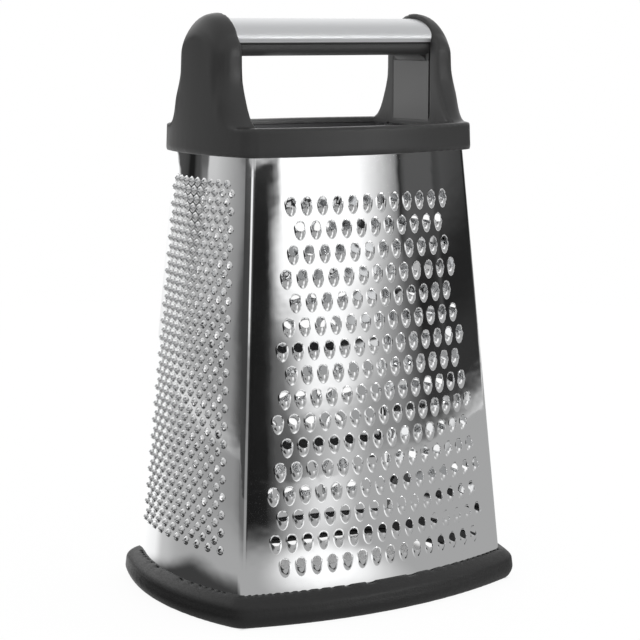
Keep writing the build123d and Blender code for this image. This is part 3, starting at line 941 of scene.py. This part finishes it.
@dataclass
class HandleCover:
    """The thin metal arch over the bar, with a creased shoulder along each side."""

    half_length: float = 48.6 * MM
    half_width: float = 14.6 * MM
    top: float = 242.0 * MM
    shoulder: float = 233.8 * MM
    edge: float = 232.1 * MM
    edge_half: float = 14.1 * MM
    wall: float = 0.6 * MM
    bead: float = 0.5 * MM

    def build(self) -> bpy.types.Object:
        """Draw the section, pull it along the bar, and dress it."""
        points = self.section()
        ends = [(-self.half_length, y, z) for y, z in points]
        piece = mesh_piece("bar_arch", np.array(ends), [])
        piece.data.edges.add(len(ends) - 1)
        for index, edge in enumerate(piece.data.edges):
            edge.vertices = (index, index + 1)
        bpy.ops.object.mode_set(mode="EDIT")
        bpy.ops.mesh.select_all(action="SELECT")
        move = {"value": (2 * self.half_length, 0, 0)}
        bpy.ops.mesh.extrude_region_move(TRANSFORM_OT_translate=move)
        bpy.ops.mesh.select_all(action="SELECT")
        bpy.ops.mesh.normals_make_consistent(inside=False)
        bpy.ops.object.mode_set(mode="OBJECT")
        if piece.data.polygons[len(points) // 2].normal.z < 0:
            piece.data.flip_normals()
        solid = piece.modifiers.new("wall", "SOLIDIFY")
        solid.thickness = self.wall
        solid.offset = -1
        bpy.ops.object.modifier_apply(modifier=solid.name)
        bpy.ops.object.shade_smooth_by_angle(angle=radians(35))
        piece.data.materials.append(SatinSteel().material())
        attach(piece, "root")
        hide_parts("handle_cover")
        log.info("bar_arch: %d faces", len(piece.data.polygons))
        return piece

    def section(self) -> list:
        """Points (y, z) of the outer side, from one lower edge over the top to the other."""
        rise = self.top - self.shoulder
        count = 36
        arch = []
        for index in range(count + 1):
            angle = pi * (1 - index / count)
            arch.append((self.half_width * cos(angle), self.shoulder + rise * sin(angle)))
        side = [
            (self.half_width - self.bead * 0.08, self.shoulder - self.bead * 0.6),
            (self.half_width - self.bead * 0.35, self.shoulder - self.bead * 1.3),
            (self.edge_half, self.edge),
        ]
        left = [(-y, z) for y, z in reversed(side)]
        return left + arch + side


@dataclass
class BaseGrip:
    """The soft ring under the steel, swollen between its lip and its nose."""

    voxel: float = 0.9 * MM
    swell: float = 1.5 * MM
    tuck: tuple = (0.8 * MM, 0.5 * MM)
    nose: float = 7.2 * MM
    lip: float = 12.9 * MM

    def build(self, solid: bpy.types.Object, body: Body) -> bpy.types.Object:
        """Copy the solid, swell its upper slope, soften it, and dress it.

        Args:
            solid: the ring among the solids.
            body: the steel above it.

        Returns:
            The softened ring.
        """
        piece = copy_of(solid, "soft_ring")
        even = piece.modifiers.new("even", "REMESH")
        even.mode = "VOXEL"
        even.voxel_size = self.voxel
        bpy.ops.object.modifier_apply(modifier=even.name)
        low = body.foot
        for vertex in piece.data.vertices:
            spot, way = vertex.co, vertex.normal
            outwards = Vector((spot.x, spot.y, 0)).normalized()
            share = min(max((spot.z - self.nose) / (self.lip - self.nose), 0), 1)
            if way.dot(outwards) > 0.15 and spot.z > low:
                spot += outwards * self.swell * sin(pi * share)
                spot.z += 0.5 * MM * sin(pi * share)
            # The lip runs on into the sheet, so that its edge doesn't show
            near = ease(spot.z, self.lip - 2.6 * MM, self.lip - 0.6 * MM)
            spot -= outwards * self.tuck[0] * near
            spot.z += self.tuck[1] * near
        group = piece.vertex_groups.new(name="soft")
        for vertex in piece.data.vertices:
            near = vertex.co.z < 0.4 * MM
            group.add([vertex.index], 0.15 if near else 1.0, "REPLACE")
        smooth = piece.modifiers.new("smooth", "SMOOTH")
        smooth.factor = 0.5
        smooth.iterations = 9
        smooth.vertex_group = group.name
        bpy.ops.object.modifier_apply(modifier=smooth.name)
        bpy.ops.object.shade_smooth()
        piece.data.materials.clear()
        piece.data.materials.append(GrainRubber().material())
        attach(piece, "root")
        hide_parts("base_grip")
        log.info("soft_ring: %d faces", len(piece.data.polygons))
        return piece


@dataclass
class Studio:
    """The table, the tent of soft boxes and dark cards round it, and the camera."""

    camera_at: tuple = (-0.43196, -0.67423, 0.23640)
    look_at: tuple = (0.00042, -0.00027, 0.11362)
    lens: float = 105.71
    sensor: float = 36.0
    tent_radius: float = 8.0
    tent_low: float = -1.6
    tent_high: float = 4.6
    table_radius: float = 0.86
    ceiling: float = 0.64
    calm_ceiling: float = 0.8
    key: float = radians(20)
    key_gain: float = 0.42
    plain: float = 0.74
    fill_at: tuple = (-0.040, 0.003, 0.2085)
    fill_power: float = 0.12
    # Painted reflection on the table, seen only in mirrors: a bright gleam, and the tent's tones far off
    gleam_at: tuple = (0.013, -0.245)
    gleam_squash: float = 0.55
    gleam_reach: tuple = (0.03, 0.095)
    far_from: tuple = (-0.055, -0.05)
    far_reach: tuple = (0.20, 0.50)
    gleam: tuple = (1.2, 0.42)
    shade_across: float = 0.066
    shade_deep: float = 0.047

    # Light level round the tent: compass angle from the front towards the right, and level
    high: tuple = (
        (-180, 0.09), (-166, 0.07), (-161, 0.05),
        (-159.5, 0.014), (-154.5, 0.014), (-152.5, 0.07), (-149, 0.085), (-143.3, 0.13),
        (-142.8, 0.70), (-135, 0.67), (-130, 0.54), (-124, 0.38), (-119, 0.28), (-117, 0.10),
        (-114, 0.04), (-108, 0.09), (-60, 0.09), (-48, 0.08), (-42, 1.1), (-29, 1.1),
        (-26, 0.3), (-20, 0.13), (-12, 0.05), (-8, 0.03), (-3.5, 0.022), (2.2, 0.024),
        (3.2, 0.40), (4.2, 1.3), (28, 1.25), (36, 0.77), (42.3, 0.26), (43.0, 0.02), (44.6, 0.02),
        (45.2, 0.10), (57, 0.10), (58.2, 0.02), (59.4, 0.10), (70, 0.10), (71.5, 0.03),
        (75, 0.03), (95, 0.05), (104, 0.3), (130, 0.9), (142, 1.25), (150, 1.0), (160, 0.16), (180, 0.09),
    )
    upper: tuple = (
        (-180, 0.09), (-166, 0.07), (-161, 0.05),
        (-159.5, 0.014), (-154.5, 0.014), (-152.5, 0.07), (-147, 0.08), (-142, 0.13),
        (-141, 0.68), (-135, 0.64),
        (-128, 0.50), (-120, 0.36), (-114.5, 0.28), (-112, 0.12), (-109.5, 0.06), (-60, 0.06),
        (-47, 0.06), (-42, 1.0), (-29, 1.0), (-25, 0.12), (-12, 0.04), (-8, 0.014), (-1.2, 0.014),
        (-0.4, 0.05), (0.4, 0.3), (1.6, 0.7), (3.0, 1.1), (5.0, 1.25), (28, 1.25), (34, 0.8),
        (42.3, 0.26), (43, 0.02), (44.6, 0.02), (45.2, 0.10), (57, 0.10), (58.2, 0.02),
        (59.4, 0.08), (70, 0.06), (75, 0.02), (100, 0.02), (112, 0.1), (135, 0.4), (146, 1.1),
        (151, 1.0), (160, 0.16), (180, 0.09),
    )
    middle: tuple = (
        (-180, 1.25), (-172, 1.1), (-164, 0.9), (-158, 0.5), (-152, 0.22), (-146, 0.35),
        (-141, 0.55), (-130, 0.42), (-124, 0.36), (-117, 0.30), (-112, 0.06), (-50, 0.05),
        (-44, 0.24), (-26, 0.24), (-23, 0.03), (-8, 0.012), (-3, 0.014), (-1.5, 0.03),
        (-0.5, 0.11), (3, 0.2), (6, 0.5), (9, 0.9), (12, 1.12), (21, 1.12), (26, 0.85),
        (31, 0.6), (35, 0.42), (40, 0.28), (44, 0.13), (47, 0.10), (49, 0.02), (56, 0.02),
        (57.5, 0.08), (59, 0.02), (100, 0.02), (125, 0.25), (150, 1.0), (180, 1.25),
    )
    low: tuple = (
        (-180, 1.1), (-163, 0.95), (-158, 0.85), (-153, 0.45), (-144, 0.45), (-125, 0.36),
        (-115, 0.28), (-110, 0.07), (-52, 0.06), (-47, 0.3), (-26, 0.3), (-23, 0.03),
        (-8, 0.012), (-2.8, 0.015), (-1.8, 0.05), (-0.5, 0.085), (5, 0.13), (8.3, 0.28),
        (13, 0.46), (18, 0.60), (23, 0.56), (27.5, 0.38), (32, 0.32), (40, 0.25), (45, 0.12),
        (50, 0.04), (86, 0.03), (110, 0.3), (150, 0.9), (180, 1.1),
    )
    # Tent tones painted on the far table, as a painted reflection
    far: tuple = (
        (-180, 1.15), (-166, 1.0), (-161, 0.62), (-150, 0.5), (-144, 0.5), (-130, 0.38),
        (-112, 0.30), (-107, 0.16), (-52, 0.16), (-47, 0.34), (-26, 0.34), (-23, 0.03),
        (-8, 0.012), (-3, 0.015), (0, 0.08), (3.5, 0.31), (8.3, 0.54), (13, 0.81), (18, 0.87),
        (23, 0.69), (27.5, 0.49), (32, 0.43), (60, 0.42), (100, 0.42), (130, 0.5), (150, 0.9),
        (180, 1.15),
    )
    over: tuple = (
        (-180, 1.5), (-165, 1.5), (-150, 0.6), (-20, 0.5), (8, 0.8), (20, 0.82), (44, 0.82),
        (60, 0.6), (120, 0.8), (145, 1.3), (180, 1.5),
    )
    strip: tuple = (
        (-180, 0.09), (-166, 0.07), (-161, 0.05),
        (-159.5, 0.014), (-154.5, 0.014), (-152.5, 0.07), (-147, 0.08), (-142, 0.13),
        (-141, 0.68), (-120, 0.5), (-20, 0.5), (20, 0.9), (25, 9.0), (41, 9.0),
        (46, 0.9), (60, 0.6), (120, 0.8), (145, 1.3), (151, 1.0), (160, 0.16), (180, 0.09),
    )
    under: tuple = ((-180, 0.95), (-60, 0.95), (60, 0.95), (180, 0.95))

    def build(self) -> None:
        """Set up the whole studio."""
        self.set_camera()
        self.set_world()
        self.set_table()
        self.set_tent()
        self.set_fill()
        bpy.context.scene.view_settings.view_transform = "Standard"

    def set_camera(self) -> None:
        """The camera of the photograph."""
        deselect()
        bpy.ops.object.camera_add(location=self.camera_at)
        camera = bpy.context.object
        camera.name = "camera"
        way = Vector(self.look_at) - Vector(self.camera_at)
        camera.rotation_euler = way.to_track_quat("-Z", "Y").to_euler()
        camera.data.lens = self.lens
        camera.data.sensor_width = self.sensor
        camera.data.clip_start = 0.01
        bpy.context.scene.camera = camera

    @staticmethod
    def seen(book: NodeBook) -> Sock:
        """One for rays of the camera, of a mirror or through glass, and none for soft light."""
        camera = book.node("ShaderNodeLightPath", output="Is Camera Ray")
        glossy = book.node("ShaderNodeLightPath", output="Is Glossy Ray")
        through = book.node("ShaderNodeLightPath", output="Is Transmission Ray")
        both = camera + glossy + through
        return book.node("ShaderNodeMath", {"operation": "MINIMUM"}, {0: both, 1: 1.0})

    def set_world(self) -> None:
        """A white background, and soft light from all of the sky."""
        world = bpy.data.worlds.new("studio")
        bpy.context.scene.world = world
        world.use_nodes = True
        book = NodeBook(world.node_tree)
        soft = book.node("ShaderNodeBackground", None, {"Color": (1, 1, 1, 1), "Strength": 0.95})
        white = book.node("ShaderNodeBackground", None, {"Color": (1, 1, 1, 1), "Strength": 1.0})
        both = book.node("ShaderNodeMixShader", None, {0: self.seen(book), 1: soft, 2: white})
        book.node("ShaderNodeOutputWorld", None, {"Surface": both})

    def set_tent(self) -> None:
        """The tent, which only the steel sees: soft boxes with dark cards between them."""
        deselect()
        bpy.ops.mesh.primitive_cylinder_add(
            vertices=256,
            radius=self.tent_radius,
            depth=self.tent_high - self.tent_low,
            end_fill_type="NOTHING",
            location=(0, 0, (self.tent_high + self.tent_low) / 2),
        )
        tent = bpy.context.object
        tent.name = "tent"
        bpy.ops.object.transform_apply(location=True, rotation=True, scale=True)
        tent.visible_camera = False
        made = bpy.data.materials.new("tent_light")
        made.use_nodes = True
        book = NodeBook(made.node_tree)
        place = book.node("ShaderNodeTexCoord", output="Object")
        split = book.node("ShaderNodeSeparateXYZ", None, {0: place})
        y = Sock(book, split.socket.node.outputs[1])
        z = Sock(book, split.socket.node.outputs[2])
        compass = book.node("ShaderNodeMath", {"operation": "ARCTAN2"}, {0: split, 1: 0.0 - y})
        turn = compass / (2 * pi) + 0.5
        settings = {"data_type": "RGBA"}
        levels = self.ramp(book, turn, self.low)
        bands = (
            (-0.30, -0.02, self.middle),
            (0.10, 0.52, self.upper),
            (0.55, 1.0, self.high),
        )
        back_left = turn.clamped(0.083, 0.111, 1.0, 0.0) + turn.clamped(0.89, 0.91)
        back_left = back_left * z.clamped(0.03, 0.09)
        for start, end, table in bands:
            share = z.clamped(start, end)
            if table is self.upper:
                both = {0: share, 1: back_left}
                share = book.node("ShaderNodeMath", {"operation": "MAXIMUM"}, both)
            inputs = {"Factor": share, 6: levels, 7: self.ramp(book, turn, table)}
            levels = book.node("ShaderNodeMix", settings, inputs, 2)
        # Above the cards and below the table's height the tent is plain again
        plains = (
            (1.02, 1.1, 0.0, 1.0, self.strip),
            (1.42, 1.7, 0.0, 1.0, self.over),
            (-0.8, -0.45, 1.0, 0.0, self.under),
        )
        for start, end, first, last, table in plains:
            inputs = {
                "Factor": z.clamped(start, end, first, last),
                6: levels,
                7: self.ramp(book, turn, table),
            }
            levels = book.node("ShaderNodeMix", settings, inputs, 2)
        glossy = book.node("ShaderNodeLightPath", output="Is Glossy Ray")
        side = (split * sin(self.key) - y * cos(self.key)) / self.tent_radius
        soft = side * self.key_gain + self.plain
        cloth = book.node("ShaderNodeEmission", None, {"Color": levels, "Strength": 1.0})
        calm = book.node("ShaderNodeEmission", None, {"Color": (1, 1, 1, 1), "Strength": soft})
        glow = book.node("ShaderNodeMixShader", None, {0: glossy, 1: calm, 2: cloth})
        book.node("ShaderNodeOutputMaterial", None, {"Surface": glow})
        tent.data.materials.append(made)
        self.set_ceiling()

    def set_ceiling(self) -> None:
        """The grey cloth over the tent, plain as the tent is for soft light."""
        deselect()
        bpy.ops.mesh.primitive_circle_add(
            vertices=128,
            radius=self.tent_radius,
            fill_type="NGON",
            location=(0, 0, self.tent_high),
        )
        cloth = bpy.context.object
        cloth.name = "ceiling"
        bpy.ops.object.transform_apply(location=True, rotation=True, scale=True)
        cloth.visible_camera = False
        made = bpy.data.materials.new("ceiling_light")
        made.use_nodes = True
        book = NodeBook(made.node_tree)
        glossy = book.node("ShaderNodeLightPath", output="Is Glossy Ray")
        place = book.node("ShaderNodeTexCoord", output="Object")
        split = book.node("ShaderNodeSeparateXYZ", None, {0: place})
        back = Sock(book, split.socket.node.outputs[1]).clamped(0.3, 5.0, 0.0, 0.45)
        level = glossy * (back + (self.ceiling - self.calm_ceiling)) + self.calm_ceiling
        glow = book.node("ShaderNodeEmission", None, {"Color": (1, 1, 1, 1), "Strength": level})
        book.node("ShaderNodeOutputMaterial", None, {"Surface": glow})
        cloth.data.materials.append(made)

    def set_fill(self) -> None:
        """A small soft lamp in the handle's opening, that lifts its shaded end and the collar."""
        deselect()
        bpy.ops.object.light_add(type="AREA", location=self.fill_at)
        lamp = bpy.context.object
        lamp.name = "fill"
        lamp.rotation_euler = (0, radians(-76), 0)
        lamp.data.shape = "RECTANGLE"
        lamp.data.size = 0.025
        lamp.data.size_y = 0.03
        lamp.data.energy = self.fill_power
        lamp.visible_camera = False
        lamp.visible_glossy = False

    @staticmethod
    def ramp(book: NodeBook, turn: Sock, table: tuple) -> Sock:
        """Two ramps joined, since one holds at most 32 stops."""
        stops = [((angle + 180) / 360, level) for angle, level in table]
        half = len(stops) // 2
        left = book.node("ShaderNodeValToRGB", {"stops": stops[: half + 1]}, {"Fac": turn})
        right = book.node("ShaderNodeValToRGB", {"stops": stops[half:]}, {"Fac": turn})
        past = book.node(
            "ShaderNodeMath", {"operation": "GREATER_THAN"}, {0: turn, 1: stops[half][0]}
        )
        return book.node(
            "ShaderNodeMix", {"data_type": "RGBA"}, {"Factor": past, 6: left, 7: right}, 2
        )

    @staticmethod
    def width_of(book: NodeBook, split: Sock, axis: int) -> Sock:
        """Distance from the middle along one axis."""
        along = split.socket.node.outputs[axis]
        return book.node("ShaderNodeMath", {"operation": "ABSOLUTE"}, {0: Sock(book, along)})

    def set_table(self) -> None:
        """A pale table that the camera sees as white, but shaded under the object; mirrors see painted
        light on it in place of gloss.
        """
        deselect()
        bpy.ops.mesh.primitive_circle_add(
            vertices=128, radius=self.table_radius, fill_type="NGON", location=(0, 0, 0)
        )
        table = bpy.context.object
        table.name = "table"
        made = bpy.data.materials.new("pale_table")
        made.use_nodes = True
        book = NodeBook(made.node_tree)
        place = book.node("ShaderNodeTexCoord", output="Object")
        shift = (-self.gleam_at[0], -self.gleam_at[1], 0.0)
        moved = book.node("ShaderNodeVectorMath", {"operation": "ADD"}, {0: place, 1: shift})
        inputs = {0: moved, 1: (1.0, self.gleam_squash, 1.0)}
        squashed = book.node("ShaderNodeVectorMath", {"operation": "MULTIPLY"}, inputs)
        far = book.node("ShaderNodeVectorMath", {"operation": "LENGTH"}, {0: squashed}, "Value")
        # Painted reflection: a bright gleam painted on the table where mirrors see it
        painted_light_tone = far.clamped(*self.gleam_reach, *self.gleam)
        split = book.node("ShaderNodeSeparateXYZ", None, {0: place})
        # Far off, the table is painted with the tent's tones as a painted reflection, by the compass
        # angle from the near seam
        ahead = self.far_from[1] - Sock(book, split.socket.node.outputs[1])
        side = split - self.far_from[0]
        compass = book.node("ShaderNodeMath", {"operation": "ARCTAN2"}, {0: side, 1: ahead})
        turn = compass / (2 * pi) + 0.5
        shift = (-self.far_from[0], -self.far_from[1], 0.0)
        moved = book.node("ShaderNodeVectorMath", {"operation": "ADD"}, {0: place, 1: shift})
        away = book.node("ShaderNodeVectorMath", {"operation": "LENGTH"}, {0: moved}, "Value")
        share = away.clamped(*self.far_reach)
        back = turn.clamped(0.064, 0.106, 1.0, 0.0) + turn.clamped(0.90, 0.95)
        share = book.node("ShaderNodeMath", {"operation": "MAXIMUM"}, {0: share, 1: back})
        # Beside the fine points the table is darkened: painted shade, seen only in mirrors
        painted_shade_beside = split.clamped(-0.21, -0.15) * split.clamped(-0.09, -0.07, 1.0, 0.0)
        painted_shade_beside = painted_shade_beside * self.width_of(book, split, 1).clamped(0.06, 0.1, 1.0, 0.0)
        painted_light_tone = painted_light_tone * (1 - painted_shade_beside * 0.88)
        share = share * (1 - painted_shade_beside)
        inputs = {"Factor": share, 6: painted_light_tone, 7: self.ramp(book, turn, self.far)}
        tones = book.node("ShaderNodeMix", {"data_type": "RGBA"}, inputs, 2)
        # Mirrors see the table as this emission: painted reflection and painted shade in place of gloss
        painted_reflection = book.node(
            "ShaderNodeEmission", None, {"Color": tones, "Strength": 1.0}
        )
        dull = book.node("ShaderNodeBsdfDiffuse", None, {"Color": (0.6, 0.6, 0.6, 1)})
        paint = book.node("ShaderNodeBsdfDiffuse", None, {"Color": (0.86, 0.86, 0.86, 1)})
        glow = book.node("ShaderNodeEmission", None, {"Color": (1, 1, 1, 1), "Strength": 1.04})
        across = self.width_of(book, split, 0) / self.shade_across
        deep = self.width_of(book, split, 1) / self.shade_deep
        outside = book.node("ShaderNodeMath", {"operation": "MAXIMUM"}, {0: across, 1: deep})
        open_air = outside.clamped(0.95, 1.05, 0.0, 0.9)
        pale = book.node("ShaderNodeMixShader", None, {0: open_air, 1: paint, 2: glow})
        glossy = book.node("ShaderNodeLightPath", output="Is Glossy Ray")
        other = book.node("ShaderNodeMixShader", None, {0: glossy, 1: dull, 2: painted_reflection})
        camera = book.node("ShaderNodeLightPath", output="Is Camera Ray")
        both = book.node("ShaderNodeMixShader", None, {0: camera, 1: other, 2: pale})
        book.node("ShaderNodeOutputMaterial", None, {"Surface": both})
        table.data.materials.append(made)


CAD_FINISHES = {
    "base_grip": GrainRubber,
    "base_frame": PlainPlastic,
    "top_shell": SoftTouch,
    "collar_frame": PlainPlastic,
    "collar_screws": ScrewSteel,
    "handle_core": SoftTouch,
    "handle_cover": SatinSteel,
    # the pillar plates get painted light: a paler copy of the moulding
    "left_pillar_cover": PaintedLightPlateTouch,
    "right_pillar_cover": PaintedLightPlateTouch,
    "handle_screws": ScrewSteel,
    "right_panel": PolishedSteel,
    "left_panel": PolishedSteel,
    "front_panel": PolishedSteel,
    "back_panel": PolishedSteel,
}


def dress_solids(nodes: dict) -> None:
    """Give each solid that stays its finish.

    Args:
        nodes: the solids by name.
    """
    for name, finish in CAD_FINISHES.items():
        data = nodes[name].data
        data.materials.clear()
        data.materials.append(finish().material())


def main() -> None:
    """Load the solids, dress them, and add the pieces and the studio."""
    logging.basicConfig(level=logging.INFO, format="%(message)s")
    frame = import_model()
    dress_solids(frame["nodes"])
    SteelBody().build()
    TopShell().build(frame["nodes"]["top_shell"])
    PillarPlate().build(frame["nodes"]["right_pillar_cover"])
    HandleCover().build()
    BaseGrip().build(frame["nodes"]["base_grip"], Body())
    Studio().build()


if __name__ == "__main__":
    main()
